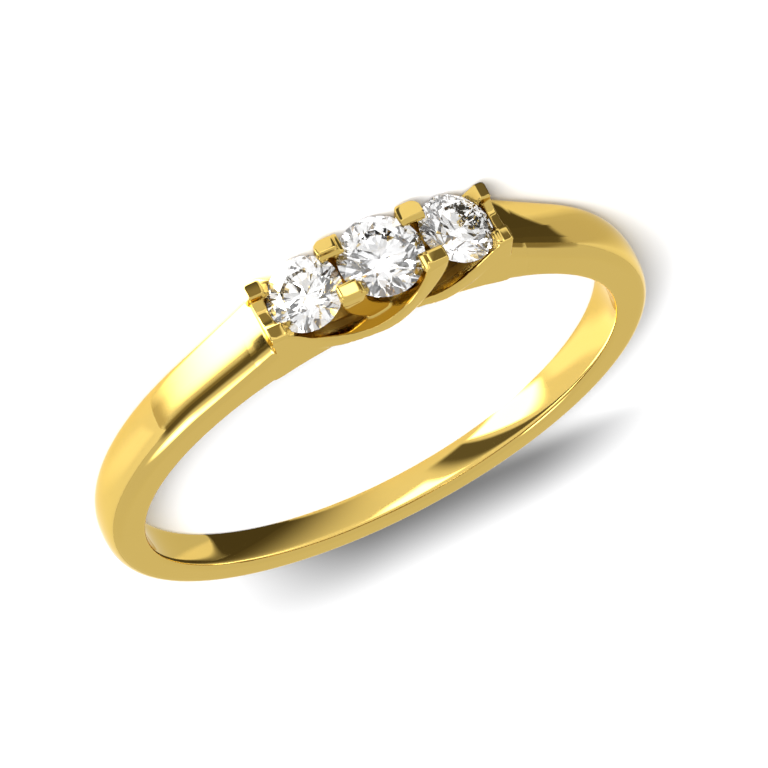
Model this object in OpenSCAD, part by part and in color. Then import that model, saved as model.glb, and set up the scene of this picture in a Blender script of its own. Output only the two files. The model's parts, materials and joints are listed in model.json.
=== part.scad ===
// Three-stone ring with interlaced prong arms, lying on its side.
// Sizes are in millimetres. The ring is built flat, with the finger axis along Z, the row of stones
// along X and the head towards -Y. It is then tilted to the angle at which it lies by itself.
// A height h is a distance from the finger axis towards the head, so its place on Y is -h.

/* [Finger hole] */
// Inner diameter of the ring
finger_d = 17.2; // [15.6:0.2:19]

/* [Band] */
// Full width of the band at the head
band_w_head = 2.22; // [2.1:0.02:2.4]
// Full width of the band at the back
band_w_back = 1.27; // [1.1:0.02:1.8]
// Thickness of the band at its sides, at the crown of the dome
band_t = 1.3; // [1.1:0.02:1.6]
// How far the outer circle is shifted towards the head
band_shift = 0.2; // [0:0.02:0.4]
// Radius of the dome across the band
dome_r = 2.6; // [1.8:0.1:4]
// Angle from the head at which the shoulders leave the outer circle and run straight
shoulder_angle = 45; // [42:1:50]
// How far the softened outer corners reach inwards from the side face, round the back
corner_run = 0.7; // [0.5:0.05:0.8]

/* [Head] */
// Distance from the middle of the head to the outside of its end walls
head_half = 4.27; // [4.1:0.01:4.5]
// Thickness of the floor under the stones, above the finger hole
floor_t = 0.38; // [0.3:0.02:0.5]
// Thickness of an end wall
end_wall_t = 0.32; // [0.25:0.01:0.45]
// Height of the low middle of an end wall above the finger hole's radius
end_wall_h = 1.55; // [1.3:0.05:1.7]

/* [Arms] */
// Distance from the middle of the head to the centre of an arm's curve
arm_x = 1.2; // [1.1:0.02:1.3]
// Height of an arm's centre above the finger hole's radius
arm_h = 2.82; // [2.7:0.02:2.9]
// Inner radius of an arm's curve
arm_in_r = 2.48; // [2.36:0.02:2.54]
// Outer radius of an arm's curve
arm_out_r = 3.1; // [3:0.05:3.2]
// Half of the gap between the arms of the two sides of the head
arm_gap = 0.55; // [0.45:0.05:0.65]
// Half of the head's width where the front arm bulges most
bulge_side = 1.42; // [1.36:0.02:1.46]

/* [Prongs] */
// Height of the inner prongs above the finger hole's radius
inner_prong_h = 3.02; // [2.9:0.02:3.1]
// Height of the end prongs above the finger hole's radius
end_prong_h = 2.06; // [2:0.02:2.3]

/* [Stones] */
// Diameter of the middle stone
center_d = 2.9; // [2.7:0.02:2.92]
// Diameter of a side stone
side_d = 2.55; // [2.3:0.02:2.56]
// Height of the middle stone's girdle above the finger hole's radius
center_h = 2.53; // [2.45:0.01:2.6]
// Height of a side stone's girdle above the finger hole's radius
side_h = 2.15; // [2.1:0.01:2.2]
// Distance from the middle stone to a side stone, along the row
side_x = 2.73; // [2.72:0.01:2.8]
// Outward tilt of a side stone
side_tilt = 20; // [18:1:22]
// Clearance between a stone and its seat
seat_gap = 0.05; // [0.03:0.01:0.08]

/* [Hidden] */
$fn = 96;

finger_r = finger_d / 2;
outer_r = finger_r + band_t;
// Side faces: half of the band's width where the finger axis crosses it, and its growth per millimetre
half_mid = (band_w_head + band_w_back) / 4;
half_slope = (band_w_head - band_w_back) / (4 * finger_r);
function half_at(h) = half_mid + half_slope * h;

// Softened corners: a ring that is shifted towards the head, so that the corners are soft at the
// back and crisp at the shoulders. It stops at corner_front_h, before it reaches the shoulders' faces
corner_steps = [0, 22.5, 45, 67.5];
corner_rise = 0.8;
corner_ring_r = finger_r + 0.9;
corner_shift = 0.63;
corner_clear = 0.02;
corner_front_h = 5.6;
corner_beyond = [3, 1];

floor_r = finger_r + floor_t;
arm_center_h = finger_r + arm_h;
inner_prong_top = finger_r + inner_prong_h;
end_prong_top = finger_r + end_prong_h;

// Front arm: its bulge is flattened at bulge_side. Back arm: a lower bulge, so that it passes behind
front_bulge_r = 8;
front_bulge_x = 0.45;
front_bulge_side = bulge_side + 0.04;
back_bulge_r = 9;
back_bulge_x = -1.7;
back_bulge_side = 1.23;

// Brilliant cut, as shares of the girdle's radius and angles of the main facets
table_share = 0.56;
crown_angle = 34.5;
pavilion_angle = 40.75;
star_share = 0.74;
lower_half_share = 0.26;
girdle_share = 0.04;
mains = 8;

// Rest pose: the ring lies on the bulge of the lower front arm and on the back of the band
touch_back_h = -(corner_ring_r - corner_shift);
touch_head_h = sqrt(pow(finger_r, 2) - pow(front_bulge_x, 2));
rest_tilt = atan((bulge_side - half_at(touch_back_h)) / (touch_head_h - touch_back_h));
rest_lift = bulge_side * cos(rest_tilt) - touch_head_h * sin(rest_tilt);
head_reach = inner_prong_top * cos(rest_tilt) + half_at(inner_prong_top) * sin(rest_tilt);
back_reach = (outer_r - band_shift) * cos(rest_tilt);
rest_y = (head_reach - back_reach) / 2;

// Long enough to pass through the whole ring in any direction, and past the side faces of the head
reach = 30;
wall_reach = 1.3;
// How far a cutting shape runs past what it cuts, and how far joined shapes run into each other
cut_over = 1;
overlap = 0.01;
gold = [0.85, 0.68, 0.3];
ice = [0.93, 0.96, 1];

// Turns the flat ring to its rest pose and puts the middle of its underside at the origin
module at_rest() {
    translate([0, rest_y, rest_lift])
        rotate([-rest_tilt, 0, 0])
            children();
}

// Profile across the band: the dome, from well inside the finger hole outwards
module dome_profile(inner) {
    intersection() {
        translate([outer_r - dome_r, 0])
            circle(dome_r);
        translate([inner, -dome_r])
            square([outer_r, 2 * dome_r]);
    }
}

// Domed outer form: a circle round the back, and two straight shoulders up to the head
module domed_form() {
    arc_inner = outer_r - dome_r;
    shoulder_inner = finger_r - 2 * band_t;
    shoulder_l = 7;
    translate([0, -band_shift, 0])
        rotate([0, 0, -90 + shoulder_angle])
            rotate_extrude(angle = 360 - 2 * shoulder_angle)
                dome_profile(arc_inner);
    for (side = [0, 1])
        mirror([side, 0, 0])
            translate([0, -band_shift, 0])
                rotate([0, 0, -90 + shoulder_angle])
                    rotate([90, 0, 0])
                        linear_extrude(height = shoulder_l)
                            dome_profile(shoulder_inner);
}

// Space between the two side faces, which come closer together towards the back
module side_wedge() {
    rotate([90, 0, 90])
        linear_extrude(height = reach, center = true)
            polygon([
                [-reach / 2, -half_at(reach / 2)],
                [reach / 2, -half_at(-reach / 2)],
                [reach / 2, half_at(-reach / 2)],
                [-reach / 2, half_at(reach / 2)]
            ]);
}

// What is cut off to soften the outer corner of one side face: a ring whose inner edge follows an
// ellipse in a few chords, tilted with the side face. In front it lies outside the band
module corner_cut() {
    side = half_mid + corner_clear;
    last = len(corner_steps) - 1;
    chords = [for (a = corner_steps) [corner_rise * sin(a), -corner_run * (1 - cos(a))]];
    beyond = 2 * chords[last] - chords[last - 1];
    outline = concat(
        [[0, corner_beyond[1]]],
        chords,
        [beyond, [corner_beyond[0], beyond[1]], corner_beyond]
    );
    intersection() {
        rotate([-atan(half_slope), 0, 0])
            translate([0, -corner_shift, 0])
                rotate_extrude()
                    polygon([for (p = outline) [corner_ring_r + p[0], side + p[1]]]);
        translate([-reach / 2, -corner_front_h, -reach / 2])
            cube(reach);
    }
}

// The shank: everything but the head, with the finger hole still closed
module shank_form() {
    difference() {
        domed_form();
        corner_cut();
        mirror([0, 0, 1])
            corner_cut();
        translate([-head_half, -reach / 2, -reach / 2])
            cube([2 * head_half, reach / 2, reach]);
    }
}

// Upright cylinder at the centre of an arm's curve; side is -1 for the arm towards -X and 1 for the other
module arm_cylinder(side, radius, z_low, z_high) {
    translate([side * arm_x, -arm_center_h, z_low])
        cylinder(r = radius, h = z_high - z_low);
}

// One arm: a curved strip from an end prong down to the finger hole and up to an inner prong
module arm(side, z_high) {
    leg = arm_out_r - arm_in_r;
    leg_x = arm_in_r - arm_x;
    difference() {
        arm_cylinder(side, arm_out_r, arm_gap, z_high);
        arm_cylinder(side, arm_in_r, arm_gap - cut_over, z_high + cut_over);
        translate([-reach / 2, -arm_center_h - reach, 0])
            cube([reach, reach, z_high + cut_over]);
        translate([side > 0 ? arm_x : -arm_x - reach, -end_prong_top - reach, 0])
            cube([reach, reach, z_high + cut_over]);
    }
    translate([side > 0 ? -leg_x - leg : leg_x, -inner_prong_top, arm_gap])
        cube([leg, inner_prong_h - arm_h + overlap, z_high - arm_gap]);
}

// The outward bulge of an arm, as a large cylinder whose axis runs towards the head
module bulge(x, side_z, radius) {
    translate([x, 0, side_z - radius])
        rotate([90, 0, 0])
            cylinder(r = radius, h = 2 * finger_r);
}

// One side of the head, flush with the shoulders: its wall with two windows, and the crossing arms
module head_wall() {
    difference() {
        translate([-head_half, -end_prong_top, arm_gap])
            cube([2 * head_half, end_prong_top, wall_reach - arm_gap]);
        for (side = [-1, 1])
            arm_cylinder(side, arm_in_r, arm_gap - cut_over, wall_reach + cut_over);
    }
    arm(-1, wall_reach);
    arm(1, wall_reach);
}

// What stands out of one side of the head: the front arm, and less of it the arm behind
module arm_bulges() {
    intersection() {
        arm(1, bulge_side);
        bulge(front_bulge_x, front_bulge_side, front_bulge_r);
    }
    intersection() {
        arm(-1, back_bulge_side);
        bulge(back_bulge_x, back_bulge_side, back_bulge_r);
    }
}

// Floor under the stones and the two end walls, low in the middle
module head_core() {
    wall_low = finger_r + end_wall_h;
    wall_half = arm_gap + overlap;
    dip_r = 0.8;
    intersection() {
        translate([-head_half, -floor_r, -wall_reach])
            cube([2 * head_half, floor_r, 2 * wall_reach]);
        cylinder(r = floor_r, h = reach, center = true);
    }
    for (side = [0, 1])
        mirror([side, 0, 0])
            difference() {
                translate([head_half - end_wall_t, -end_prong_top, -wall_half])
                    cube([end_wall_t, end_prong_top, 2 * wall_half]);
                translate([head_half - end_wall_t - cut_over, -wall_low - dip_r, 0])
                    rotate([0, 90, 0])
                        cylinder(r = dip_r, h = end_wall_t + 2 * cut_over);
            }
}

// Shank and head, kept between the side faces
module casting_form() {
    intersection() {
        union() {
            shank_form();
            head_core();
            head_wall();
            rotate([0, 180, 0])
                head_wall();
        }
        side_wedge();
    }
    arm_bulges();
    rotate([0, 180, 0])
        arm_bulges();
}

// Places its children on a stone's axis: place is -1, 0 or 1 along the row
module at_stone(place) {
    h = finger_r + (place == 0 ? center_h : side_h);
    translate([place * side_x, -h, 0])
        rotate([0, 0, place * side_tilt])
            rotate([90, 0, 0])
                children();
}

// Space for one stone, with the clearance all round
module seat(diameter) {
    r = diameter / 2 + seat_gap;
    girdle = girdle_share * diameter / 4 + seat_gap;
    table_r = r * table_share;
    crown_top = girdle + (r - table_r) * tan(crown_angle);
    rotate_extrude()
        polygon([
            [0, -girdle - r * tan(pavilion_angle)],
            [r, -girdle],
            [r, girdle],
            [table_r, crown_top],
            [table_r, crown_top + cut_over],
            [0, crown_top + cut_over]
        ]);
}

module gold_mount() {
    color(gold)
        at_rest()
            difference() {
                casting_form();
                cylinder(r = finger_r, h = reach, center = true);
                at_stone(0)
                    seat(center_d);
                for (place = [-1, 1])
                    at_stone(place)
                        seat(side_d);
            }
}

// Round brilliant: table up, girdle at height 0
module brilliant(diameter) {
    r = diameter / 2;
    half_girdle = girdle_share * r / 2;
    step = 180 / mains;
    table_z = half_girdle + r * (1 - table_share) * tan(crown_angle);
    star_z = half_girdle + r * (1 - star_share * cos(step)) * tan(crown_angle);
    lower_z = -half_girdle - r * (1 - lower_half_share * cos(step)) * tan(pavilion_angle);
    culet_z = -half_girdle - r * tan(pavilion_angle);
    points = concat(
        [for (i = [0 : mains - 1]) ring_point(r * table_share, 2 * i * step, table_z)],
        [for (i = [0 : mains - 1]) ring_point(r * star_share, (2 * i + 1) * step, star_z)],
        [for (i = [0 : 2 * mains - 1]) ring_point(r, i * step, half_girdle)],
        [for (i = [0 : 2 * mains - 1]) ring_point(r, i * step, -half_girdle)],
        [for (i = [0 : mains - 1]) ring_point(r * lower_half_share, (2 * i + 1) * step, lower_z)],
        [[0, 0, culet_z]]
    );
    // First point of each ring in the list above
    star = mains;
    upper = 2 * mains;
    lower = 4 * mains;
    half = 6 * mains;
    culet = 7 * mains;
    faces = concat(
        [[for (i = [mains - 1 : -1 : 0]) i]],
        [for (i = [0 : mains - 1]) [i, (i + 1) % mains, star + i]],
        [for (i = [0 : mains - 1])
            [i, star + i, upper + 2 * i, star + (i + mains - 1) % mains]],
        [for (i = [0 : mains - 1]) [star + i, upper + 2 * i + 1, upper + 2 * i]],
        [for (i = [0 : mains - 1])
            [star + i, upper + (2 * i + 2) % (2 * mains), upper + 2 * i + 1]],
        [for (i = [0 : 2 * mains - 1])
            [upper + i, upper + (i + 1) % (2 * mains), lower + (i + 1) % (2 * mains), lower + i]],
        [for (i = [0 : mains - 1]) [lower + 2 * i, lower + 2 * i + 1, half + i]],
        [for (i = [0 : mains - 1])
            [lower + 2 * i + 1, lower + (2 * i + 2) % (2 * mains), half + i]],
        [for (i = [0 : mains - 1])
            [lower + 2 * i, half + i, culet, half + (i + mains - 1) % mains]]
    );
    polyhedron(points = points, faces = faces);
}

function ring_point(radius, angle, z) = [radius * cos(angle), radius * sin(angle), z];

module set_diamond(place, diameter) {
    color(ice)
        at_rest()
            at_stone(place)
                brilliant(diameter);
}

module center_diamond() { set_diamond(0, center_d); }

module left_diamond() { set_diamond(-1, side_d); }

module right_diamond() { set_diamond(1, side_d); }

gold_mount();
center_diamond();
left_diamond();
right_diamond();
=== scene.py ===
# %% [markdown]
# # A three-stone gold ring
# The ring is a tapered hoop with a domed top, and a head of crossing arms whose ends hold a row
# of round brilliants. It lies on its side, as a ring does by itself. The solid model is loaded
# first: it fixes the place and size of everything that is made here.

# %% Load the solid model
import json
import math

import bmesh
import bpy
from mathutils import Matrix, Vector


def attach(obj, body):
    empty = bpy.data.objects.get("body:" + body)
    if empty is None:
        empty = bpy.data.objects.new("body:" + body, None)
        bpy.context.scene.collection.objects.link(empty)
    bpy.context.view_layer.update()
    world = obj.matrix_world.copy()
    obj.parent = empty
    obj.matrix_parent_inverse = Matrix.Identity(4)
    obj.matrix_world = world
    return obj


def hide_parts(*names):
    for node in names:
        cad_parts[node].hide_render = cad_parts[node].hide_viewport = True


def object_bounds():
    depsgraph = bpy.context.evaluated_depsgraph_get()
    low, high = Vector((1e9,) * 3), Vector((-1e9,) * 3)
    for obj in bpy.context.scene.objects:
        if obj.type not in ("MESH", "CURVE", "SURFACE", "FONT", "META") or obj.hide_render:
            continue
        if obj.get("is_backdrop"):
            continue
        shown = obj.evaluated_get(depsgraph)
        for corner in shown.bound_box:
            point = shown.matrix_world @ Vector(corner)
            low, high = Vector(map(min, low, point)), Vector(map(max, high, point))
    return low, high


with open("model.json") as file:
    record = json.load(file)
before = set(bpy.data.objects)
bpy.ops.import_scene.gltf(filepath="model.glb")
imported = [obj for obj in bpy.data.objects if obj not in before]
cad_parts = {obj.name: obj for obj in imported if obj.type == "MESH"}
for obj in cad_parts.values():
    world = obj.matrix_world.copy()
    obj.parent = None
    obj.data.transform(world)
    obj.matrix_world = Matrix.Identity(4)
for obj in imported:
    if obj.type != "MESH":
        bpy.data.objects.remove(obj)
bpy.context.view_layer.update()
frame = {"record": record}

# %% [markdown]
# ## The bench frame
# Everything is shaped in millimetres with the ring flat: the finger axis is Z, the row of stones
# runs along X and the head points to -Y. A jeweller works the same way, with the ring square to
# the bench pin. The finger hole's axis, which the record states, gives the way from there to
# where the ring rests. Working in millimetres also keeps the numbers well away from the smallest
# sizes that the mesh tools can tell apart.

# %% From the bench to the rest pose
hole = next(m for m in frame["record"]["mounts"] if m["name"] == "finger_hole")
FINGER_R = hole["dims"]["r_mm"]
rest_tilt = math.atan2(hole["axis"][1], hole["axis"][2])
TO_REST = (
    Matrix.Translation(hole["pos_m"])
    @ Matrix.Rotation(-rest_tilt, 4, "X")
    @ Matrix.Scale(0.001, 4)
)
HALF_WIDTH, WIDENING = 0.8685, 0.0276   # at the finger axis, and what each mm towards the head adds
SHARP_FROM = math.radians(55)   # smooth pieces keep edges above this, such as cut rims at the seams


def half_width(h):
    """Half of the ring's width at a height h from the finger axis towards the head."""
    return HALF_WIDTH + WIDENING * h


def outward(bm):
    """Turns every face's normal out of the solid."""
    bm.normal_update()
    bmesh.ops.recalc_face_normals(bm, faces=bm.faces)
    return bm


def keep(bm, name, smooth=True):
    """Moves a finished bench mesh to its rest pose and makes it an object."""
    bmesh.ops.transform(bm, matrix=TO_REST, verts=bm.verts)
    mesh = bpy.data.meshes.new(name)
    bm.to_mesh(mesh)
    bm.free()
    for face in mesh.polygons:
        face.use_smooth = smooth
    if smooth:
        mesh.set_sharp_from_angle(angle=SHARP_FROM)
    piece = bpy.data.objects.new(name, mesh)
    bpy.context.scene.collection.objects.link(piece)
    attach(piece, "root")
    print(name, "faces:", len(mesh.polygons))
    return piece


print("rest tilt, degrees:", round(math.degrees(rest_tilt), 2))

# %% [markdown]
# ## The hoop
# The hoop is drawn as one section swept round the finger. The section is a soft box: a
# superellipse whose exponent says how crisp its corners are. Next to the head the outer corners
# are crisp, and further back they melt into the dome, which is how such a ring is filed and
# polished. A spin gives the ring of faces, and each vertex then takes its place on the section.

# %% Hoop: sizes along its way round
CROWN_R = FINGER_R + 1.295      # outer circle, whose centre lies CROWN_SHIFT towards the head
CROWN_SHIFT = 0.2
SHOULDER_AT = 45.0              # degrees from the head where the shoulders leave the circle
HEAD_HALF = 4.27                # the hoop ends against the head's end walls
CROWN_END = 23.27               # degrees from the head where the crown line meets those walls
BORE_END = math.degrees(math.asin(HEAD_HALF / FINGER_R))    # and the finger hole's line
STRAIGHT_TO = 60.0              # from here on the sections stand square to the finger hole
SPIN_START = CROWN_END - 1.6    # the shoulders run a little way into the head
DOME_R = 2.6
CRISP, MILD, SOFT = 26.0, 7.5, 3.8      # exponents of the section's outer half
LIP_CRISP, LIP_SOFT = 13.0, 9.0         # and of its inner half
SECTION_POINTS = 112
SPIN_STEPS = 230


def crown_radius(degrees):
    """Distance from the finger axis to the crown of the dome."""
    a = math.radians(degrees)
    if degrees < SHOULDER_AT:
        s = math.radians(SHOULDER_AT)
        return (CROWN_R + CROWN_SHIFT * math.cos(s)) / math.cos(s - a)
    return CROWN_SHIFT * math.cos(a) + math.sqrt(CROWN_R**2 - (CROWN_SHIFT * math.sin(a)) ** 2)


def blend(x, x0, x1, y0, y1):
    """Smooth change from y0 at x0 to y1 at x1."""
    t = min(max((x - x0) / (x1 - x0), 0.0), 1.0)
    return y0 + (y1 - y0) * t * t * (3 - 2 * t)


def hoop_point(degrees, turn):
    """Point of the hoop at an angle from the head, and at a turn round the section."""
    share = (degrees - CROWN_END) / (STRAIGHT_TO - CROWN_END)
    lean = (BORE_END - CROWN_END) * max(1 - share, 0) ** 2
    bore = math.radians(degrees + lean)
    crown = math.radians(degrees)
    inner = Vector((math.sin(bore), math.cos(bore))) * FINGER_R
    outer = Vector((math.sin(crown), math.cos(crown))) * crown_radius(degrees)
    if math.sin(turn) > 0:      # the outer half of the section
        power = blend(degrees, CROWN_END, CROWN_END + 3.5, CRISP, MILD)
        power = min(power, blend(degrees, 29, 100, MILD, SOFT))
    else:
        power = blend(degrees, 70, 150, LIP_CRISP, LIP_SOFT)
    c, s = math.cos(turn), math.sin(turn)
    size = (abs(c) ** power + abs(s) ** power) ** (-1 / power)
    across, out = c * size, s * size
    middle = (inner + outer) / 2
    depth = (outer - inner).length
    way = (outer - inner) / depth
    h = (middle + way * out * depth / 2).y
    sag = half_width(h) ** 2 / (2 * DOME_R)
    point = middle + way * (out * depth / 2 - max(out, 0) * across**2 * sag)
    return point.x, point.y, across * half_width(point.y)


# %% Hoop: spin and shape
SPIN_R = 2          # radius of the plain spin, before the vertices take their places
CORNER_PULL = 0.19  # gathers the section's points at its corners

bm = bmesh.new()
made = bmesh.ops.create_circle(bm, radius=0.5, segments=SECTION_POINTS)
stand = Matrix.Translation((0, -SPIN_R, 0)) @ Matrix.Rotation(math.pi / 2, 4, "Y")
bmesh.ops.transform(bm, matrix=stand, verts=made["verts"])
sweep = 360 - 2 * SPIN_START
bmesh.ops.rotate(
    bm, verts=bm.verts, matrix=Matrix.Rotation(math.radians(SPIN_START), 3, "Z")
)
bmesh.ops.spin(
    bm, geom=bm.verts[:] + bm.edges[:], axis=(0, 0, 1), cent=(0, 0, 0),
    angle=math.radians(sweep), steps=SPIN_STEPS,
)
for v in bm.verts:
    degrees = math.degrees(math.atan2(v.co.x, -v.co.y))
    out = math.hypot(v.co.x, v.co.y) - SPIN_R
    turn = math.atan2(out, v.co.z)
    turn += CORNER_PULL * math.sin(4 * turn)
    x, h, z = hoop_point(abs(degrees), turn)
    v.co = (math.copysign(x, degrees), -h, z)
outward(bm)
print("hoop section points:", SECTION_POINTS, "steps round:", SPIN_STEPS)

# %% [markdown]
# The head's skin runs a little way over the hoop's end. So that neither shows a step, the hoop is
# drawn in there by a few thousandths of a millimetre and comes out again slowly, and the head's
# skin later dives under it just as slowly. The hoop's last edge is tucked inwards.

# %% Hoop: share it with the head
def trim(bm, point, normal):
    """Cuts off and closes what lies on the normal's side of a plane."""
    bmesh.ops.bisect_plane(
        bm, geom=bm.verts[:] + bm.edges[:] + bm.faces[:],
        plane_co=point, plane_no=normal, clear_outer=True,
    )
    bmesh.ops.holes_fill(bm, edges=[e for e in bm.edges if e.is_boundary], sides=0)
    return bm


SEAM_X = 4.9                    # the head's casting and the hoop are soldered here
SEAM_Y = -8.2                   # middle of the band's section there
HEAD_OVER, HOOP_OVER = 0.2, 0.1 # how far each skin runs past the seam
HOOP_SLIP, HEAD_SLIP = 0.006, 0.011
SLIP_END = SEAM_X + 1.6
TUCK, TUCK_WIDTH, TUCK_HEIGHT = 0.12, 0.97, 0.96

shoulders = bm.copy()
for v in bm.verts:
    slip = blend(abs(v.co.x), SEAM_X + HEAD_OVER, SLIP_END, HOOP_SLIP, 0) if v.co.y < 0 else 0
    v.co.z -= math.copysign(min(slip, abs(v.co.z)), v.co.z)
    v.co.y = SEAM_Y + (v.co.y - SEAM_Y) * (1 - slip)
trim(shoulders, (0, -5, 0), (0, 1, 0))
for side in (-1, 1):
    trim(shoulders, (side * (SEAM_X + 0.5), 0, 0), (side, 0, 0))
    front = [v for v in bm.verts if v.co.y < 0 and v.co.x * side > 0]
    near = set(front)
    edges = [e for e in bm.edges if set(e.verts) <= near]
    faces = [f for f in bm.faces if set(f.verts) <= near]
    bmesh.ops.bisect_plane(
        bm, geom=front + edges + faces, plane_co=(side * (SEAM_X - HOOP_OVER), 0, 0),
        plane_no=(-side, 0, 0), clear_outer=True,
    )
tucked = bmesh.ops.extrude_edge_only(bm, edges=[e for e in bm.edges if e.is_boundary])
for v in [g for g in tucked["geom"] if isinstance(g, bmesh.types.BMVert)]:
    v.co.z *= TUCK_WIDTH
    v.co.x -= math.copysign(TUCK, v.co.x)
    v.co.y = SEAM_Y + (v.co.y - SEAM_Y) * TUCK_HEIGHT
bmesh.ops.holes_fill(bm, edges=[e for e in bm.edges if e.is_boundary], sides=0)
outward(bm)
hoop = keep(bm, "hoop")

# %% [markdown]
# ## The head
# A real head like this is cast in wax, cleaned with files and buffed, so no edge on it is truly
# sharp and every inner corner has a small fillet. The plain forms are cut and laid into each
# other first. A voxel remesh then fuses them into one skin, and a little smoothing does what the
# buff does: it rounds the edges and fills the corners.

# %% Head: sizes
FLOOR_R = FINGER_R + 0.38
ARM_X, ARM_H = 1.22, FINGER_R + 2.82
ARM_GAP = 0.55                  # the arms' strips start this far from the ring's middle plane
ARM_END = 71                    # degrees from straight down to an arm's end under its prong tip
END_WALL = 0.32
DIP_H, DIP_R = FINGER_R + 1.80, 1.2
PLAIN_X, PLAIN_H, PLAIN_Z = 4.6, 6.5, 1.4   # plain blocks reach this far before they are cut
CHAMFER_Z = 1.06                # chamfers of the end faces' upright edges start here
TIP_DEPTH, TIP_BEVEL, TIP_ROUNDING = 0.6, 0.045, 0.12
STONE_PITCH, STONE_TILT = 2.73, 20
MIDDLE_RISE, SIDE_RISE = 2.53, 2.15         # girdles above the finger hole
SEAT_CLEARANCE, SEAT_GIRDLE, SEAT_TOP = 0.02, 0.03, 1.5
TABLE = 0.56                    # a round brilliant's usual table and slopes
CROWN_SLOPE = math.tan(math.radians(34.5))
PAVILION_SLOPE = math.tan(math.radians(40.75))
FIRST_VOXEL, VOXEL = 0.03, 0.040
BUFFING = 6                     # rounds of smoothing


# %% Head: helpers for plain forms
def block(low, high):
    """A box between two bench corners."""
    bm = bmesh.new()
    bmesh.ops.create_cube(bm, size=1)
    low, high = Vector(low), Vector(high)
    place = Matrix.Translation((low + high) / 2) @ Matrix.Diagonal((*(high - low), 1))
    bmesh.ops.transform(bm, matrix=place, verts=bm.verts)
    return bm


def rod(radius, length, place, segments=256):
    """A cylinder centred on a place, along Z until the place turns it."""
    bm = bmesh.new()
    bmesh.ops.create_cone(
        bm, cap_ends=True, segments=segments, radius1=radius, radius2=radius, depth=length
    )
    bmesh.ops.transform(bm, matrix=place, verts=bm.verts)
    return bm


def bench_object(bm):
    """A throwaway object for modifiers to work on."""
    mesh = bpy.data.meshes.new("bench")
    bm.to_mesh(mesh)
    bm.free()
    item = bpy.data.objects.new("bench", mesh)
    bpy.context.scene.collection.objects.link(item)
    return item


def modified(bm, *steps):
    """Runs modifiers, each a kind with its settings, and gives back a bench mesh."""
    item = bench_object(bm)
    for kind, settings in steps:
        modifier = item.modifiers.new(kind, kind)
        for key, value in settings.items():
            setattr(modifier, key, value)
    result = bmesh.new()
    result.from_object(item, bpy.context.evaluated_depsgraph_get())
    bpy.data.objects.remove(item)
    return result


def cut(bm, *tools):
    """Cuts throwaway objects out of a bench mesh."""
    exact = {"operation": "DIFFERENCE", "solver": "EXACT"}
    return modified(bm, *[("BOOLEAN", {**exact, "object": tool}) for tool in tools])


def merge(target, source):
    """Adds one bench mesh to another."""
    mesh = bpy.data.meshes.new("merge")
    source.to_mesh(mesh)
    source.free()
    target.from_mesh(mesh)
    bpy.data.meshes.remove(mesh)


# %% Head: curves of the arms
def window_reach(turn):
    """Half widths, across and up, of an arm's inner curve. The turn is from straight down."""
    flare = 0.28 * max(math.degrees(turn) - 52, 0) ** 2 / 400
    return 2.32 + 0.08 * math.sin(turn) + flare, 2.47


def arm_reach(turn):
    """The same for an arm's outer curve, which runs out past the head's end."""
    return 3.30 + 0.18 * math.sin(turn), 3.1


def swell(x, middle, reach):
    """A smooth rise from 0 to 1 and back, over a reach either side of its middle."""
    share = min(abs(x - middle) / reach, 1)
    return math.cos(share * math.pi / 2) ** 2


def front_face(x, h):
    """How far out the arm that passes in front stands."""
    return half_width(h) + 0.30 * swell(x, 0.40, 2.6)


def back_face(x, h):
    """The arm behind swells less, and then drops back to pass behind the other."""
    sinks = blend(x, -0.7, 0.2, 0, 0.19) - blend(h, 9.6, 11.5, 0, 0.12) * (x > 0)
    return half_width(h) + 0.10 * swell(x, -2.0, 1.5) - sinks


# %% Head: cutters
bore = bench_object(rod(FINGER_R, 8, Matrix.Identity(4)))
windows = []
for side in (-1, 1):
    window = rod(1, 8, Matrix.Identity(4))
    for v in window.verts:
        turn = math.atan2(v.co.x, v.co.y)
        across, up = window_reach(turn)
        v.co.x *= across
        v.co.y = v.co.y * up - ARM_H
        v.co.x = side * (v.co.x + ARM_X)
    outward(window)
    windows.append(bench_object(window))
SIDE_SLOPE = half_width(1) - half_width(0)
side_normal = Vector((0, SIDE_SLOPE, 1)).normalized()
side_point = Vector((0, 0, half_width(0)))


def stone_place(place):
    """Bench matrix of a stone: its girdle's centre, with Z out of the table."""
    h = FINGER_R + (SIDE_RISE if place else MIDDLE_RISE)
    return (
        Matrix.Translation((place * STONE_PITCH, -h, 0))
        @ Matrix.Rotation(math.radians(STONE_TILT * place), 4, "Z")
        @ Matrix.Rotation(math.pi / 2, 4, "X")
    )


def seat(place, diameter):
    """What a stone's seat takes out of the prongs: pavilion, girdle and crown, with clearance."""
    r = diameter / 2 + SEAT_CLEARANCE
    table_r, table_z = TABLE * r, SEAT_GIRDLE + (1 - TABLE) * r * CROWN_SLOPE
    bm = bmesh.new()
    outline = [
        (0, -SEAT_GIRDLE - r * PAVILION_SLOPE), (r, -SEAT_GIRDLE), (r, SEAT_GIRDLE),
        (table_r, table_z), (table_r, SEAT_TOP), (0, SEAT_TOP),
    ]
    verts = [bmesh.ops.create_vert(bm, co=(x, 0, z))["vert"][0] for x, z in outline]
    for one, two in zip(verts, verts[1:]):
        bm.edges.new((one, two))
    bmesh.ops.spin(
        bm, geom=bm.verts[:] + bm.edges[:], axis=(0, 0, 1), cent=(0, 0, 0),
        angle=2 * math.pi, steps=96, use_merge=True,
    )
    bmesh.ops.remove_doubles(bm, verts=bm.verts, dist=1e-4)
    outward(bm)
    bmesh.ops.transform(bm, matrix=stone_place(place), verts=bm.verts)
    return bench_object(bm)


seats = [seat(-1, 2.6), seat(0, 2.9), seat(1, 2.6)]


# %% Head: one side of it
def flush(bm):
    """Keeps what lies between the ring's two side faces."""
    trim(bm, side_point, side_normal)
    return trim(bm, -side_point, Vector((0, side_normal.y, -side_normal.z)))


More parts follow.
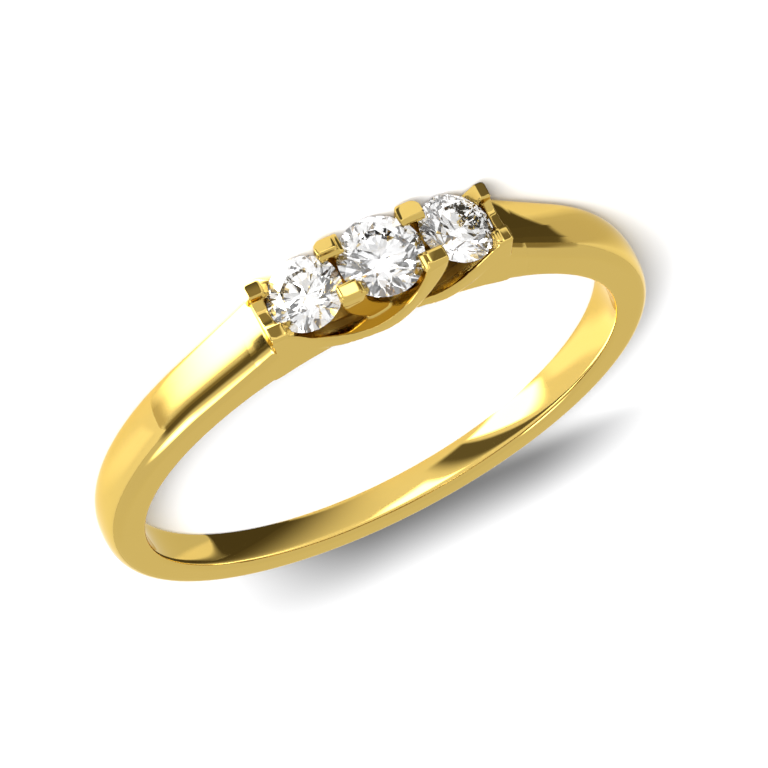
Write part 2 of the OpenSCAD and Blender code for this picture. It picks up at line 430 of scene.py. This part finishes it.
def arm(side, face):
    """A curved strip: end prong, down past the finger hole's rim, up to an inner prong."""
    steps_round, steps_across = 120, 6
    bm = bmesh.new()
    profile = [(0, 0)] + [(t / steps_across, 1) for t in range(steps_across + 1)] + [(1, 0)]
    verts = [bmesh.ops.create_vert(bm, co=(1 + t, 0, s))["vert"][0] for t, s in profile]
    bm.faces.new(verts)
    bmesh.ops.spin(
        bm, geom=bm.verts[:] + bm.edges[:] + bm.faces[:], axis=(0, 0, 1), cent=(0, 0, 0),
        angle=math.radians(90 + ARM_END), steps=steps_round,
    )
    for v in bm.verts:
        turn = math.atan2(v.co.y, v.co.x) - math.pi / 2
        t = math.hypot(v.co.x, v.co.y) - 1
        inner, outer = window_reach(turn), arm_reach(turn)
        across, up = [i + (o - i) * t for i, o in zip(inner, outer)]
        x = side * (ARM_X + across * math.sin(turn))
        h = ARM_H - up * math.cos(turn)
        outside = v.co.z > 0.5
        z = face(x, h) - 0.03 * abs(2 * t - 1) ** 5
        v.co = (x, -h, z if outside else ARM_GAP)
    return outward(bm)


PRONGS = [
    # x inside, x outside, z inside, z outside, top, rounding of the outer and of the other corner
    (3.84, 4.47, 0.58, 1.15, 10.83, 0.26, 0.12),
    (1.18, 1.91, 0.50, 1.09, 11.60, 0.14, 0.05),
    (-1.22, -1.91, 0.60, 1.16, 11.52, 0.10, 0.05),
    (-3.70, -4.27, 0.56, 1.12, 10.71, 0.12, 0.26),
    (3.86, 4.48, -0.58, -1.13, 10.74, 0.30, 0.05),
    (1.20, 1.93, -0.70, -1.22, 11.58, 0.26, 0.05),
    (-1.04, -1.90, -0.64, -1.27, 11.50, 0.34, 0.05),
    (-3.74, -4.23, -0.60, -1.12, 10.62, 0.32, 0.05),
]


def prong_tip(x_in, x_out, z_in, z_out, top, rounding, other):
    """A prong's tip: flat on top, with its outer corners rounded in plan."""
    low = (min(x_in, x_out), -top, min(z_in, z_out))
    high = (max(x_in, x_out), -top + TIP_DEPTH, max(z_in, z_out))
    bm = block(low, high)
    roundings = ((x_out, z_out, rounding), (x_in, z_out, TIP_ROUNDING), (x_out, z_in, other))
    for x, z, size in roundings:
        corner = [
            e for e in bm.edges
            if all(abs(v.co.x - x) < 0.01 and abs(v.co.z - z) < 0.01 for v in e.verts)
        ]
        bmesh.ops.bevel(
            bm, geom=corner, offset=size, offset_type="OFFSET", segments=8, profile=0.5,
            affect="EDGES", material=-1,
        )
    rim = [e for e in bm.edges if all(abs(v.co.y + top) < 0.001 for v in e.verts)]
    bmesh.ops.bevel(
        bm, geom=rim, offset=TIP_BEVEL, offset_type="OFFSET", segments=2, profile=0.5,
        affect="EDGES", material=-1,
    )
    return bm


def half_head():
    """The wall and arms of one side of the head, as forms that run into each other."""
    wall = block((-PLAIN_X, -FINGER_R - 2.2, ARM_GAP), (PLAIN_X, -PLAIN_H, PLAIN_Z))
    return [flush(cut(wall, bore, *windows)), arm(1, front_face), arm(-1, back_face)]


# %% Head: all forms
forms = half_head()
turn_over = Matrix.Rotation(math.pi, 4, "Y")
for other in half_head():
    bmesh.ops.transform(other, matrix=turn_over, verts=other.verts)
    forms.append(other)

floor_bm = rod(FLOOR_R, 2 * ARM_GAP + 0.1, Matrix.Identity(4))
for side in (-1, 1):
    trim(floor_bm, (side * 4.2, 0, 0), (side, 0, 0))
trim(floor_bm, (0, -6, 0), (0, 1, 0))
forms.append(floor_bm)

for side in (-1, 1):
    dip = bench_object(rod(
        DIP_R, 3,
        Matrix.Translation((side * 4, -DIP_H - DIP_R, 0)) @ Matrix.Rotation(math.pi / 2, 4, "Y"),
    ))
    x_low, x_high = sorted((side * (HEAD_HALF - END_WALL), side * PLAIN_X))
    end_wall = block((x_low, -FINGER_R - 2.0, -0.6), (x_high, -PLAIN_H, 0.6))
    forms.append(cut(end_wall, dip))
    bpy.data.objects.remove(dip)

ENDS = [
    # the head's two end faces: a point and the way out
    (Vector((HEAD_HALF, -9.68, 0)), Vector((1, 0.17, 0)).normalized()),
    (Vector((-HEAD_HALF, -9.68, 0)), Vector((-1, 0, 0))),
]
head_bm = bmesh.new()
for form in forms:
    for point, way_out in ENDS:
        trim(form, point, way_out)
        for up in (-1, 1):
            corner = point + Vector((0, 0, up * CHAMFER_Z))
            trim(form, corner, (way_out + Vector((0, 0.03, up))).normalized())
    merge(head_bm, form)
for side in (-1, 1):
    x_low, x_high = sorted((side * 3.5, side * 4.2))
    foot = block((x_low, -9.5, -PLAIN_Z), (x_high, -PLAIN_H, PLAIN_Z))
    merge(head_bm, flush(foot))
for row in PRONGS:
    merge(head_bm, prong_tip(*row))
print("head forms:", len(forms) + len(PRONGS))

# %% Head: seats, fusing and buffing
head_bm = modified(head_bm, ("REMESH", {"mode": "VOXEL", "voxel_size": FIRST_VOXEL}))
head_bm = cut(head_bm, bore, *seats)
merge(head_bm, shoulders)
head_bm = modified(
    head_bm,
    ("REMESH", {"mode": "VOXEL", "voxel_size": VOXEL}),
    ("SMOOTH", {"factor": 0.5, "iterations": BUFFING}),
)
for side in (-1, 1):
    trim(head_bm, (side * (SEAM_X + HEAD_OVER), 0, 0), (side, 0, 0))
for v in head_bm.verts:
    slip = blend(abs(v.co.x), SEAM_X - HEAD_OVER, SEAM_X + HEAD_OVER, 0, HEAD_SLIP)
    v.co.z *= 1 - slip
    v.co.y = SEAM_Y + (v.co.y - SEAM_Y) * (1 - slip)
for tool in (bore, *windows, *seats):
    bpy.data.objects.remove(tool)
print("head triangles:", sum(len(f.verts) - 2 for f in head_bm.faces))

# %% [markdown]
# No buff reaches the hollow between the prongs, so the skin in there stays as cast. The attribute
# is 1 on the skin in there and 0 where the gold is polished, with soft changes between, and the
# gold's material reads it: it makes that skin rough and grainy, and paints it darker as painted
# shade in the hollow.

# %% Head: where it stays as cast, with painted shade
# marks the hollow: rough, grainy cast skin, and painted shade in the gold's colour there
inside = head_bm.verts.layers.float.new("unbuffed_and_shaded")
head_bm.normal_update()
for v in head_bm.verts:
    h = -v.co.y
    middle = Vector((min(max(v.co.x, -2.6), 2.6), -10.2, 0))
    faces_in = (middle - v.co).normalized().dot(v.normal)
    deep = blend(h, 10.2, 10.9, 1, 0) * blend(abs(v.co.z), 0.75, 1.1, 1, 0)
    held = math.hypot(v.co.x, v.co.y) > FINGER_R + 0.1 and abs(v.co.x) < 4.1
    v[inside] = deep * blend(faces_in, 0.05, 0.45, 0, 1) if held else 0
head = keep(head_bm, "head")

# %% [markdown]
# ## The stones
# A brilliant is ground facet by facet on a flat lap, so each facet here is one flat cut too: a
# plane through three points takes a slice off a short rod. Eight large facets, eight small ones
# round the table and sixteen along the girdle make the crown, and eight long and sixteen slim
# ones the pavilion. The cuts stay sharp, because a diamond's edges are.

# %% Stones: cutting
STAR_TIP, LOWER_TIP = 0.76, 0.24    # how far out the star and the lower girdle facets end
GIRDLE = 0.022                      # half of its height; all are shares of the radius


def spot(radius, degrees, z):
    """A point of the stone given by its distance from the axis and its direction."""
    a = math.radians(degrees)
    return Vector((radius * math.cos(a), radius * math.sin(a), z))


def facet(bm, one, two, three):
    """Grinds a flat through three points."""
    normal = (two - one).cross(three - one).normalized()
    if normal.dot(one) < 0:
        normal = -normal
    trim(bm, one, normal)


def brilliant(r, turn):
    """A round brilliant of radius r, with its table towards Z, turned round its axis."""
    g = GIRDLE * r
    bm = rod(r, 3 * r, Matrix.Identity(4), segments=96)
    for z, slope, tip, foot in (
        (g, CROWN_SLOPE, STAR_TIP, TABLE), (-g, -PAVILION_SLOPE, LOWER_TIP, 0.1)
    ):
        for k in range(8):
            a = turn + 45 * k
            main = spot(r, a, z)
            foot_z = z + (1 - foot) * r * slope
            facet(bm, main, main + spot(r, a + 90, 0), spot(foot * r, a, foot_z))
            tip_z = z + (1 - tip * math.cos(math.pi / 8)) * r * slope
            for half in (-22.5, 22.5):
                facet(bm, spot(tip * r, a + half, tip_z), main, spot(r, a + half, z))
    table_z = g + (1 - TABLE) * r * CROWN_SLOPE
    trim(bm, (0, 0, table_z), (0, 0, 1))
    tip_z = g + (1 - STAR_TIP * math.cos(math.pi / 8)) * r * CROWN_SLOPE
    for k in range(8):
        a = turn + 45 * k
        star = spot(STAR_TIP * r, a + 22.5, tip_z)
        facet(bm, star, spot(TABLE * r, a, table_z), spot(TABLE * r, a + 45, table_z))
    return bm


# %% Stones: all three
STONES = [
    # node of the solid, place in the row, radius, turn round its axis
    ("center_diamond", 0, 1.447, 9),
    ("left_diamond", -1, 1.295, 31),
    ("right_diamond", 1, 1.295, 17),
]
stones = []
for node, place, r, turn in STONES:
    stone_bm = brilliant(r, turn)
    bmesh.ops.transform(stone_bm, matrix=stone_place(place), verts=stone_bm.verts)
    outward(stone_bm)
    stone = keep(stone_bm, node + "_cut", smooth=False)
    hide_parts(node)
    stones.append(stone)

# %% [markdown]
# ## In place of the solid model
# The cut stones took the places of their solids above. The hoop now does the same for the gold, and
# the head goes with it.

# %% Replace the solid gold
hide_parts("gold_mount")
print("in place of gold_mount:", hoop.name, "and", head.name)

# %% [markdown]
# ## Gold
# The gold is 18 carat and buffed, so it is nearly a mirror. Its colour lives in the reflection.
# Fine unevenness of the polish softens what it mirrors a little. Down in the head, where no buff
# reaches, the surface stays as cast: duller and slightly grainy, and its colour is painted deeper
# there as painted shade in the hollow.

# %% Gold: material
def add_node(tree, kind, **settings):
    """Adds a node and sets its options."""
    made = tree.nodes.new(kind)
    for key, value in settings.items():
        setattr(made, key, value)
    return made


def noise(tree, coordinates, scale, detail=3.0):
    """A noise pattern of a given scale."""
    made = add_node(tree, "ShaderNodeTexNoise")
    made.inputs["Scale"].default_value = scale
    made.inputs["Detail"].default_value = detail
    tree.links.new(coordinates, made.inputs["Vector"])
    return made.outputs["Fac"]


def ranged(tree, value, low, high, start=0.3, end=0.7):
    """Maps a pattern between two numbers."""
    made = add_node(tree, "ShaderNodeMapRange")
    for name, number in (("From Min", start), ("From Max", end), ("To Min", low), ("To Max", high)):
        made.inputs[name].default_value = number
    tree.links.new(value, made.inputs["Value"])
    return made.outputs["Result"]


def mixed(tree, share, one, two):
    """Mixes two colours by a share."""
    made = add_node(tree, "ShaderNodeMix", data_type="RGBA")
    tree.links.new(share, made.inputs["Factor"])
    for socket, colour in ((made.inputs["A"], one), (made.inputs["B"], two)):
        if isinstance(colour, tuple):
            socket.default_value = (*colour, 1)
        else:
            tree.links.new(colour, socket)
    return made.outputs["Result"]


gold = bpy.data.materials.new("polished_gold")
gold.use_nodes = True
tree = gold.node_tree
shader = tree.nodes["Principled BSDF"]
shader.inputs["Metallic"].default_value = 1.0
shader.inputs["Specular Tint"].default_value = (0.95, 0.86, 0.60, 1)
where = add_node(tree, "ShaderNodeTexCoord").outputs["Object"]
# The attribute marks the hollow between the prongs: rough and grainy cast skin there, and painted
# shade in its colour.
unbuffed_and_shaded = add_node(tree, "ShaderNodeAttribute", attribute_name="unbuffed_and_shaded").outputs["Fac"]
polish = mixed(tree, noise(tree, where, 260.0), (0.655, 0.468, 0.130), (0.63, 0.446, 0.118))
# painted shade: the hollow's colours are much darker than the polished gold's; the noise between
# the two is grain
unbuffed_colour_and_shade = mixed(tree, noise(tree, where, 3000.0), (0.40, 0.24, 0.045), (0.28, 0.16, 0.03))
tree.links.new(mixed(tree, unbuffed_and_shaded, polish, unbuffed_colour_and_shade), shader.inputs["Base Color"])
gloss = ranged(tree, noise(tree, where, 900.0), 0.03, 0.055)
matt = add_node(tree, "ShaderNodeMath", operation="MULTIPLY_ADD")
matt.inputs[1].default_value = 0.28
tree.links.new(unbuffed_and_shaded, matt.inputs[0])
tree.links.new(gloss, matt.inputs[2])
tree.links.new(matt.outputs[0], shader.inputs["Roughness"])
grain = add_node(tree, "ShaderNodeBump")
grain.inputs["Strength"].default_value = 0.35
grain.inputs["Distance"].default_value = 0.00003
grain_height = add_node(tree, "ShaderNodeMath", operation="MULTIPLY")
tree.links.new(unbuffed_and_shaded, grain_height.inputs[0])
tree.links.new(noise(tree, where, 9000.0), grain_height.inputs[1])
tree.links.new(grain_height.outputs[0], grain.inputs["Height"])
tree.links.new(grain.outputs["Normal"], shader.inputs["Normal"])
for piece in (hoop, head):
    piece.data.materials.append(gold)
print(gold.name, "nodes:", len(gold.node_tree.nodes))

# %% [markdown]
# ## Diamond
# Diamond bends light so strongly that what enters the table is thrown back out of it in
# splinters. The shader needs the true refractive index and no roughness at all. A trace of blue
# and brown from place to place stands for the fire that splits the splinters into colours.

# %% Diamond: material
diamond = bpy.data.materials.new("diamond")
diamond.use_nodes = True
tree = diamond.node_tree
shader = tree.nodes["Principled BSDF"]
shader.inputs["Transmission Weight"].default_value = 1.0
shader.inputs["IOR"].default_value = 2.417
shader.inputs["Roughness"].default_value = 0.0
where = add_node(tree, "ShaderNodeTexCoord").outputs["Object"]
fire = mixed(tree, noise(tree, where, 2500.0, 1.0), (0.97, 0.98, 1.0), (1.0, 0.99, 0.97))
tree.links.new(fire, shader.inputs["Base Color"])
for piece in stones:
    piece.data.materials.append(diamond)
print(diamond.name, "on stones:", len(stones))

# %% [markdown]
# ## Sheet
# The ring lies on a plain white sheet, overexposed to pure white as in a shop's picture. Real
# paper is matt, so the sheet has no gloss: the little cards that come later must not shine in it.

# %% Sheet
SHEET_HALF = 2.0
bm = bmesh.new()
bmesh.ops.create_grid(bm, x_segments=1, y_segments=1, size=SHEET_HALF)
mesh = bpy.data.meshes.new("floor")
bm.to_mesh(mesh)
bm.free()
floor = bpy.data.objects.new("floor", mesh)
bpy.context.scene.collection.objects.link(floor)
floor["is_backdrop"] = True
sheet = bpy.data.materials.new("white_sheet")
sheet.use_nodes = True
tree = sheet.node_tree
shader = tree.nodes["Principled BSDF"]
where = add_node(tree, "ShaderNodeTexCoord").outputs["Object"]
paper = mixed(tree, noise(tree, where, 40.0), (0.90, 0.90, 0.90), (0.88, 0.88, 0.885))
tree.links.new(paper, shader.inputs["Base Color"])
shader.inputs["Roughness"].default_value = 0.8
shader.inputs["Specular IOR Level"].default_value = 0.0
mesh.materials.append(sheet)
print("sheet, m:", 2 * SHEET_HALF)

# %% [markdown]
# ## Light
# One large softbox stands in front of the ring and a little to the left of the picture. An even,
# weaker light comes from all round. Light goes back and forth many times inside a cut stone
# before it leaves, so many bounces are allowed.

# %% Light
AMBIENT = 0.5
world = bpy.data.worlds.new("studio")
bpy.context.scene.world = world
world.use_nodes = True
background = world.node_tree.nodes["Background"]
background.inputs["Color"].default_value = (1, 1, 1, 1)
background.inputs["Strength"].default_value = AMBIENT
bpy.context.scene.view_settings.view_transform = "Standard"
bpy.context.scene.cycles.glossy_bounces = 12


def direction(azimuth, elevation):
    """Way from the ring to a place in the studio; azimuth 0 is -Y and 90 is +X."""
    a, e = math.radians(azimuth), math.radians(elevation)
    return Vector((math.sin(a) * math.cos(e), -math.cos(a) * math.cos(e), math.sin(e)))


def facing_ring(way, distance):
    """Places a flat thing in a direction and turns its face to the ring."""
    return Matrix.Translation(way * distance) @ way.to_track_quat("Z", "Y").to_matrix().to_4x4()


def softbox(name, azimuth, elevation, distance, size, brightness):
    """A rectangular light that faces the ring. Its power follows from how bright it looks."""
    light = bpy.data.objects.new(name, bpy.data.lights.new(name, "AREA"))
    light.data.shape = "RECTANGLE"
    light.data.size, light.data.size_y = size
    light.data.energy = brightness * math.pi * size[0] * size[1]
    light.matrix_world = facing_ring(direction(azimuth, elevation), distance)
    bpy.context.scene.collection.objects.link(light)
    light.visible_glossy = False
    print(name, "watts:", round(light.data.energy, 2))


softbox("main_softbox", 25, 24, 0.60, (0.30, 0.18), 54.0)

# %% [markdown]
# ## Tent and cards
# Polished gold shows its surroundings rather than its own colour. Jewellery photographers
# therefore put the ring in a white tent, with small white and dark cards round it. The same is
# done here, at the places that the photograph's reflections point to. Most cards lie just above
# the sheet, a few stand upright. All have soft borders. Polished faces mirror them, and they take
# no part in lighting the set.

# %% Card helper
def glowing(name, bm, brightness, warmth):
    """Makes a thing that only reflections see. Its cover attribute fades it out at the borders."""
    mesh = bpy.data.meshes.new(name)
    bm.to_mesh(mesh)
    bm.free()
    flat = bpy.data.objects.new(name, mesh)
    bpy.context.scene.collection.objects.link(flat)
    flat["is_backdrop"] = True
    flat.visible_camera = False
    flat.visible_diffuse = False
    flat.visible_transmission = False
    flat.visible_shadow = False
    paint = bpy.data.materials.new(name)
    paint.use_nodes = True
    tree = paint.node_tree
    tree.nodes.remove(tree.nodes["Principled BSDF"])
    glow = add_node(tree, "ShaderNodeEmission")
    glow.inputs["Strength"].default_value = brightness
    glow.inputs["Color"].default_value = (1, 1 - 0.2 * warmth, 1 - 0.6 * warmth, 1)
    clear = add_node(tree, "ShaderNodeBsdfTransparent")
    part = add_node(tree, "ShaderNodeMixShader")
    cover = add_node(tree, "ShaderNodeAttribute", attribute_name="cover")
    tree.links.new(cover.outputs["Fac"], part.inputs[0])
    tree.links.new(clear.outputs[0], part.inputs[1])
    tree.links.new(glow.outputs[0], part.inputs[2])
    tree.links.new(part.outputs[0], tree.nodes["Material Output"].inputs["Surface"])
    mesh.materials.append(paint)
    return flat


def card(name, corners, soft, brightness, warmth=0.0, height=0.02, most=1.0):
    """A card with four corners in mm. Soft gives its fading borders as shares of its two lengths,
    and most how much of what is behind it the card covers."""
    bm = bmesh.new()
    bmesh.ops.create_grid(bm, x_segments=40, y_segments=40, size=0.5)
    cover = bm.verts.layers.float.new("cover")
    one, two, three, four = [Vector((*p, height)) if len(p) == 2 else Vector(p) for p in corners]
    for v in bm.verts:
        along, across = v.co.x + 0.5, v.co.y + 0.5
        v[cover] = most * blend(along, 0, soft[0], 0, 1) * blend(1 - along, 0, soft[1], 0, 1)
        v[cover] *= blend(across, 0, soft[2], 0, 1) * blend(1 - across, 0, soft[3], 0, 1)
        v.co = one.lerp(two, along).lerp(four.lerp(three, along), across)
    bmesh.ops.scale(bm, vec=(0.001, 0.001, 0.001), verts=bm.verts)
    print("card:", name)
    return glowing(name, bm, brightness, warmth)


# %% [markdown]
# The tent is a white dome round everything. The flat side of the band mirrors nothing else.

# %% Tent
def cover_whole(bm):
    """Leaves no fading border."""
    cover = bm.verts.layers.float.new("cover")
    for v in bm.verts:
        v[cover] = 1


TENT_R, TENT_GLOW = 1.5, 0.95
bm = bmesh.new()
bmesh.ops.create_uvsphere(bm, u_segments=48, v_segments=24, radius=TENT_R)
cover_whole(bm)
tent = glowing("tent", bm, TENT_GLOW, 0)
tent.visible_transmission = True
print("tent radius, m:", TENT_R)

# %% [markdown]
# On the left shoulder a large white card makes the broad white field. It ends in a curved line
# towards the back of the hoop and fades into dark ground outwards. A tall lamp at the side draws
# the bright band along the shoulder's edge, above a dark strip at the horizon.

# %% Cards for the left shoulder
GROUND, LOW, MID, HIGH, TOP = 0.01, 0.015, 0.02, 0.025, 0.03
card("dark_floor_left", [(9.5, -34), (62, -34), (62, -4.2), (9.5, -4.7)],
     (0.4, 0.02, 0.1, 0.01), 0.30, 0.7, GROUND)
card("line_left", [(8.0, -6.3), (22, -6.5), (22, -4.4), (8.0, -4.9)],
     (0.12, 0.5, 0.75, 0.02), 0.85, 0.4, LOW)
card("white_card_left", [(2.4, -9.6), (8.3, -4.95), (18.0, -5.3), (13.0, -18.0)],
     (0.02, 0.55, 0.01, 0.80), 8.5, 0, MID)
card("dark_card_near_head", [(9.6, -18), (60, -36), (60, -22.0), (9.6, -9.3)],
     (0.05, 0.02, 0.05, 0.1), 0.05, 0.6, TOP)
card("bright_card_left", [(9.4, -4.3), (18, -4.3), (18, 2.0), (9.4, 2.0)],
     (0.2, 0.6, 0.1, 0.6), 1.65, 0, LOW)
card("dark_wall_left", [(60, -26, -1), (60, 3, -1), (60, 3, 11), (60, -26, 11)],
     (0.1, 0.3, 0.02, 0.5), 0.16, 0.7)
card("side_card", [(60, -22, 11), (60, 20, 11), (60, 20, 44), (60, -22, 44)],
     (0.25, 0.5, 0.3, 0.55), 8.0)

# %% [markdown]
# The right shoulder mirrors grey ground, and next to the head a dark card with a sharp, slanting
# edge.

# %% Cards for the right shoulder
card("grey_card_right", [(-45, -14), (-6.6, -14), (-8.6, 2), (-45, 2)],
     (0.1, 0.03, 0.1, 0.3), 0.86, 0.2, GROUND)
card("dark_card_right", [(-10.6, -15), (-3.5, -15), (-3.9, -8.55), (-10.6, -6.02)],
     (0.001, 0.001, 0.1, 0.015), 0.11, 0.7, MID)
card("dark_card_middle", [(-17, -15), (-9.7, -15), (-9.7, -6.2), (-17, -4.82)],
     (0.001, 0.001, 0.1, 0.015), 0.12, 0.7, HIGH)
card("dark_floor_right", [(-60, -15), (-14.9, -15), (-14.9, -5.25), (-60, 1.5)],
     (0.1, 0.001, 0.1, 0.02), 0.14, 0.7, TOP)
card("dark_wall_right", [(-40, -8, -1), (-40, -0.5, -1), (-40, -0.5, 9), (-40, -8, 9)],
     (0.1, 0.2, 0.05, 0.35), 0.35, 0.6)

# %% [markdown]
# Inside the hoop a white card, a dark strip and a small white streak follow each other. Further
# left lies a dark card that fades to the right and ends sharply to the left.

# %% Cards inside the hoop
card("grey_card_inside", [(4.4, 2), (9.5, 2), (9.5, 8.6), (4.4, 8.6)],
     (0.1, 0.05, 0.3, 0.1), 0.9, 0, GROUND)
card("bright_card_inside", [(-8.2, 3.0), (-5.8, 4.9), (-4.9, 6.3), (-7.2, 7.0)],
     (0.3, 0.3, 0.3, 0.3), 1.9, 0, GROUND)
card("dark_card_inside", [(-3.0, 5.8), (-1.6, 5.6), (-1.9, 8.3), (-3.5, 8.3)],
     (0.12, 0.45, 0.05, 0.15), 0.18, 0.5, LOW)
card("white_card_inside", [(-6.5, 6.2), (-3.4, 6.3), (-3.5, 8.2), (-6.5, 8.1)],
     (0.28, 0.06, 0.2, 0.2), 8.0, 0, MID)
card("white_streak_inside", [(-1.75, 6.0), (-0.75, 5.5), (-0.65, 7.0), (-1.75, 7.5)],
     (0.25, 0.3, 0.2, 0.3), 7.0, 0, TOP)
card("fading_card_inside", [(-1.4, 6.4), (2.7, 7.4), (2.7, 9.3), (-1.4, 9.7)],
     (0.95, 0.02, 0.04, 0.12), 0.12, 0.7, MID)
card("dark_card_back", [(2.4, 7.58), (5.7, 7.55), (5.7, 9.0), (2.4, 9.3)],
     (0.02, 0.05, 0.04, 0.12), 0.10, 0.7, HIGH)

# %% [markdown]
# The prong tips tilt outwards, so each one mirrors a place of its own in front of the head. In
# the photograph one is white, its neighbours are bright and those at the ends are dark. Two more
# dark cards lie where the flat tops of the middle and the left stone mirror the sheet, because a
# white image there would veil the splinters of light below it.

# %% Cards for the prong tips and the stones' tables
card("pads_dark_left", [(2.0, -19), (6.5, -19), (4.6, -11), (2.6, -11)],
     (0.1, 0.1, 0.1, 0.1), 0.40, 0.5, TOP)
card("pads_white", [(-1.3, -19.5), (1.2, -19.5), (1.2, -16.2), (-1.3, -16.2)],
     (0.1, 0.1, 0.1, 0.1), 4.0, 0, MID)
card("pads_dark_right", [(-9.0, -19.5), (-2.4, -19.5), (-2.4, -16), (-9.0, -16)],
     (0.1, 0.1, 0.1, 0.1), 0.26, 0.5, MID)
card("pads_dark_far", [(-9.0, -15), (-3.6, -15), (-3.6, -10), (-9.0, -10)],
     (0.1, 0.1, 0.1, 0.1), 0.22, 0.5, TOP)
card("table_dark_middle", [(-1.45, -15), (0.85, -15), (0.85, -11), (-1.45, -11)],
     (0.03, 0.03, 0.1, 0.1), 0.14, 0.2, HIGH)
card("table_dark_left", [(2.7, -13.8), (5.6, -13.8), (5.2, -10.6), (2.7, -10.6)],
     (0.05, 0.05, 0.1, 0.1), 0.14, 0.2, HIGH)

# %% [markdown]
# ## Shade behind the band
# The photograph has a soft grey shade on the sheet below the back of the band. A ring that lies
# down can't throw it there, so a see-through flag close to the sheet makes it. Nothing else sees
# the flag.

# %% Shade
shade = card("shade", [(-13, 10.6), (7, 9.5), (6, 20.5), (-13, 16.2)],
             (0.35, 0.38, 0.28, 0.72), 0.0, 0, 0.25, 0.8)
shade.visible_glossy = False
shade.visible_diffuse = True
shade.visible_shadow = True

# %% [markdown]
# ## Flags for the stones
# A diamond lit evenly from all sides looks flat. Its sparkle needs dark places between the bright
# ones. These are the camera with its dark lens and a set of narrow black flags. Only the stones
# see them.

# %% Flags
# azimuth, elevation, half width, half height: the lens first, then two larger flags at its side
FLAGS = [(13.3, 24, 0.070, 0.070), (52, 22, 0.05, 0.11), (38, 52, 0.06, 0.05)]
for step in range(18):
    height, width = 36 + 12 * math.sin(step * 2.4), 0.032 + 0.013 * (step % 3)
    FLAGS.append((step * 20 + 5, height, width, 0.17))
for azimuth in (-60, 0, 60, 120, 180):
    FLAGS.append((azimuth, 70, 0.12, 0.035))
FLAG_DISTANCE, FLAG_GLOW = 0.5, 0.03
for number, (azimuth, elevation, wide, high) in enumerate(FLAGS):
    bm = bmesh.new()
    bmesh.ops.create_grid(bm, x_segments=2, y_segments=2, size=1)
    cover_whole(bm)
    bmesh.ops.scale(bm, vec=(wide, high, 1), verts=bm.verts)
    place = facing_ring(direction(azimuth, elevation), FLAG_DISTANCE)
    bmesh.ops.transform(bm, matrix=place, verts=bm.verts)
    flag = glowing("flag_%d" % number, bm, FLAG_GLOW, 0)
    flag.visible_glossy = False
    flag.visible_transmission = True
print("flags:", len(FLAGS))

# %% [markdown]
# ## Camera
# The camera stands where the photograph was taken from, as worked out from the hoop's inner edge
# and the stones. It looks across the lying ring from the head's side, with a long lens, and it is
# turned about its own axis so that the head comes out at the upper left.

# %% Camera
VIEW_AZIMUTH, VIEW_ELEVATION, VIEW_ROLL = 13.30, 23.95, 150.985
VIEW_DISTANCE = 0.6
LOOK_AT = Vector((-0.000607, 0.000727, 0.000776))
camera = bpy.data.objects.new("camera", bpy.data.cameras.new("camera"))
bpy.context.scene.collection.objects.link(camera)
bpy.context.scene.camera = camera
camera.data.lens = 856.7
camera.data.clip_end = 10
back = direction(VIEW_AZIMUTH, VIEW_ELEVATION)
turned = back.to_track_quat("Z", "Y").to_matrix() @ Matrix.Rotation(math.radians(VIEW_ROLL), 3, "Z")
camera.matrix_world = Matrix.Translation(LOOK_AT + back * VIEW_DISTANCE) @ turned.to_4x4()
print("camera at, m:", [round(c, 3) for c in camera.matrix_world.translation])

# %% [markdown]
# ## Measures
# The bounds of what was made here are found.

# %% Finish
low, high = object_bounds()
